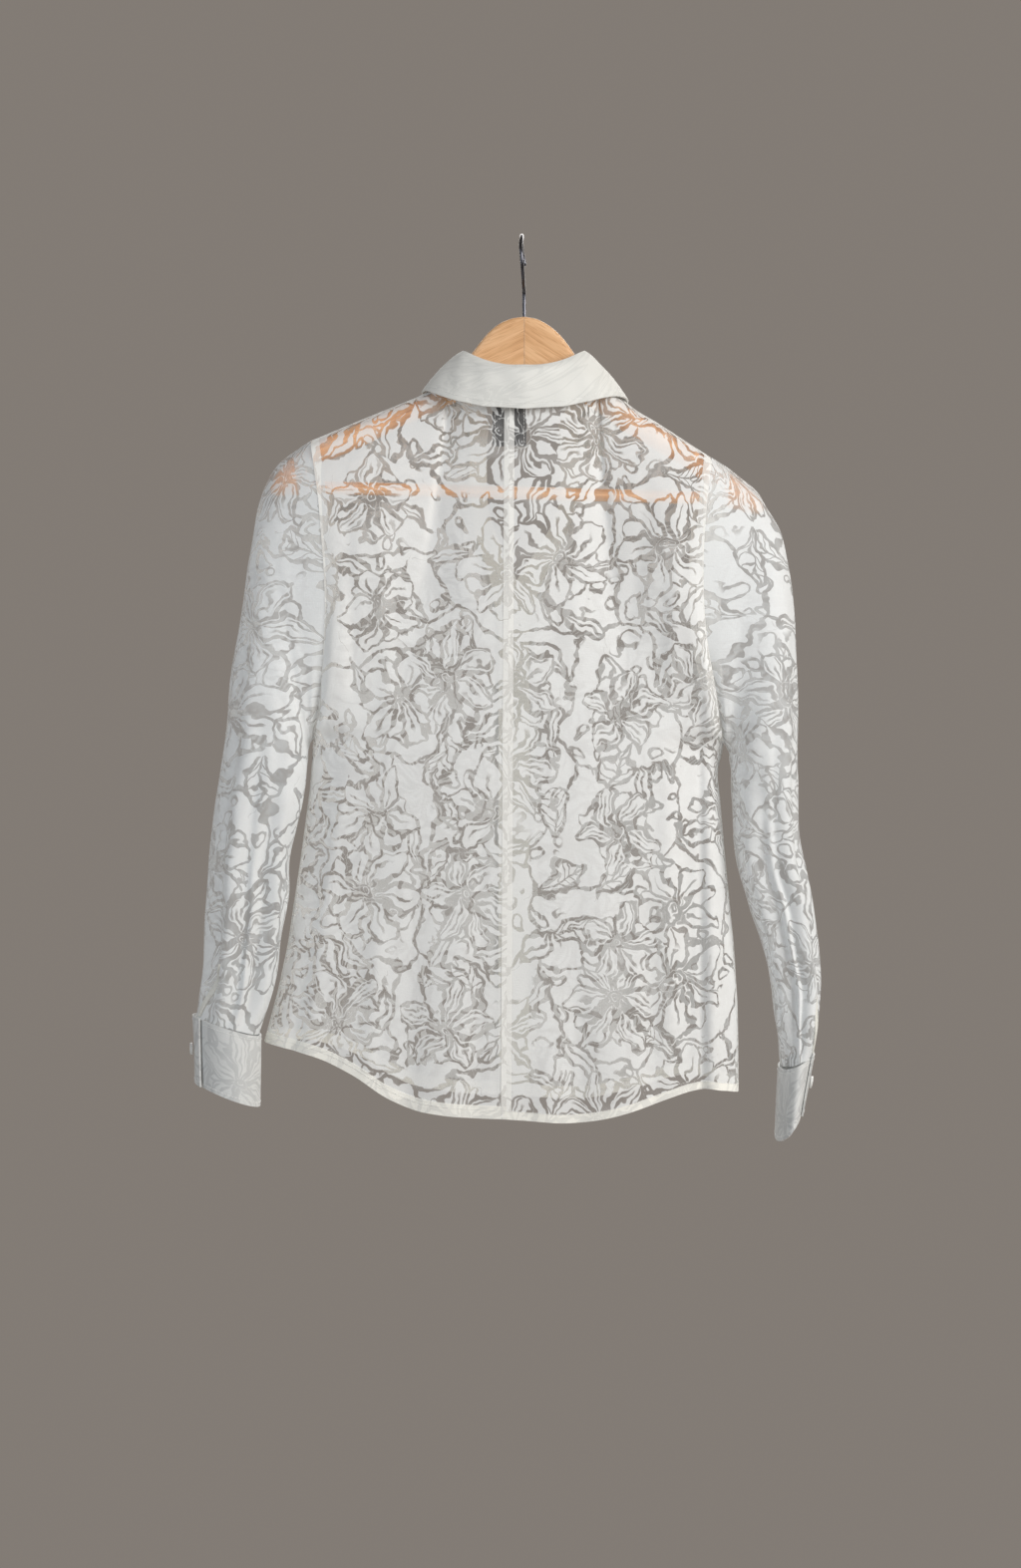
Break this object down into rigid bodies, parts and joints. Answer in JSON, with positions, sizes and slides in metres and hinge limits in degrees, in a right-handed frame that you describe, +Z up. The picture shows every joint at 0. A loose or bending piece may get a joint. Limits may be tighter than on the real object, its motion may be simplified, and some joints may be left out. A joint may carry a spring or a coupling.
{
  "type": "sheer shirt on a wooden suit hanger",
  "caption": "White see-through long-sleeved shirt with a burnt-out floral pattern, plain collar, cuffs and button bands, hanging on a contoured wooden suit hanger with a bar and a dark metal hook.",
  "frame": {"origin": "inside top of the hook's crook, where a rail holds it", "axes": "+Z up; -Y the shirt's back, which faces the picture's camera; +X the right of that view, the wearer's right"},
  "size_m": [0.5662, 0.1142, 0.8175],
  "materials": {
    "sheer_cloth": "thin white burnout cloth, half see-through in its pattern lines",
    "plain_cloth": "plain white matt cloth",
    "label_cloth": "black woven tape",
    "shell_button": "pearly white",
    "hanger_wood": "clear satin varnish",
    "dark_metal": "dark polished"
  },
  "bodies": {
    "root": {"back_left": "sheer_cloth", "back_right": "sheer_cloth", "binding_left": "plain_cloth", "binding_right": "plain_cloth", "collar_fall": "plain_cloth", "collar_stand": "plain_cloth", "cuff_button_left": "shell_button", "cuff_button_right": "shell_button", "cuff_left": "plain_cloth", "cuff_right": "plain_cloth", "front_button_1": "shell_button", "front_button_2": "shell_button", "front_button_3": "shell_button", "front_button_4": "shell_button", "front_button_5": "shell_button", "front_button_6": "shell_button", "front_left": "sheer_cloth", "front_right": "sheer_cloth", "hanger_arm_left": "hanger_wood", "hanger_arm_right": "hanger_wood", "hanger_bar": "hanger_wood", "hook": "dark_metal", "neck_label": "label_cloth", "placket_left": "plain_cloth", "placket_right": "plain_cloth", "sleeve_left": "sheer_cloth", "sleeve_right": "sheer_cloth"}
  },
  "joints": []
}
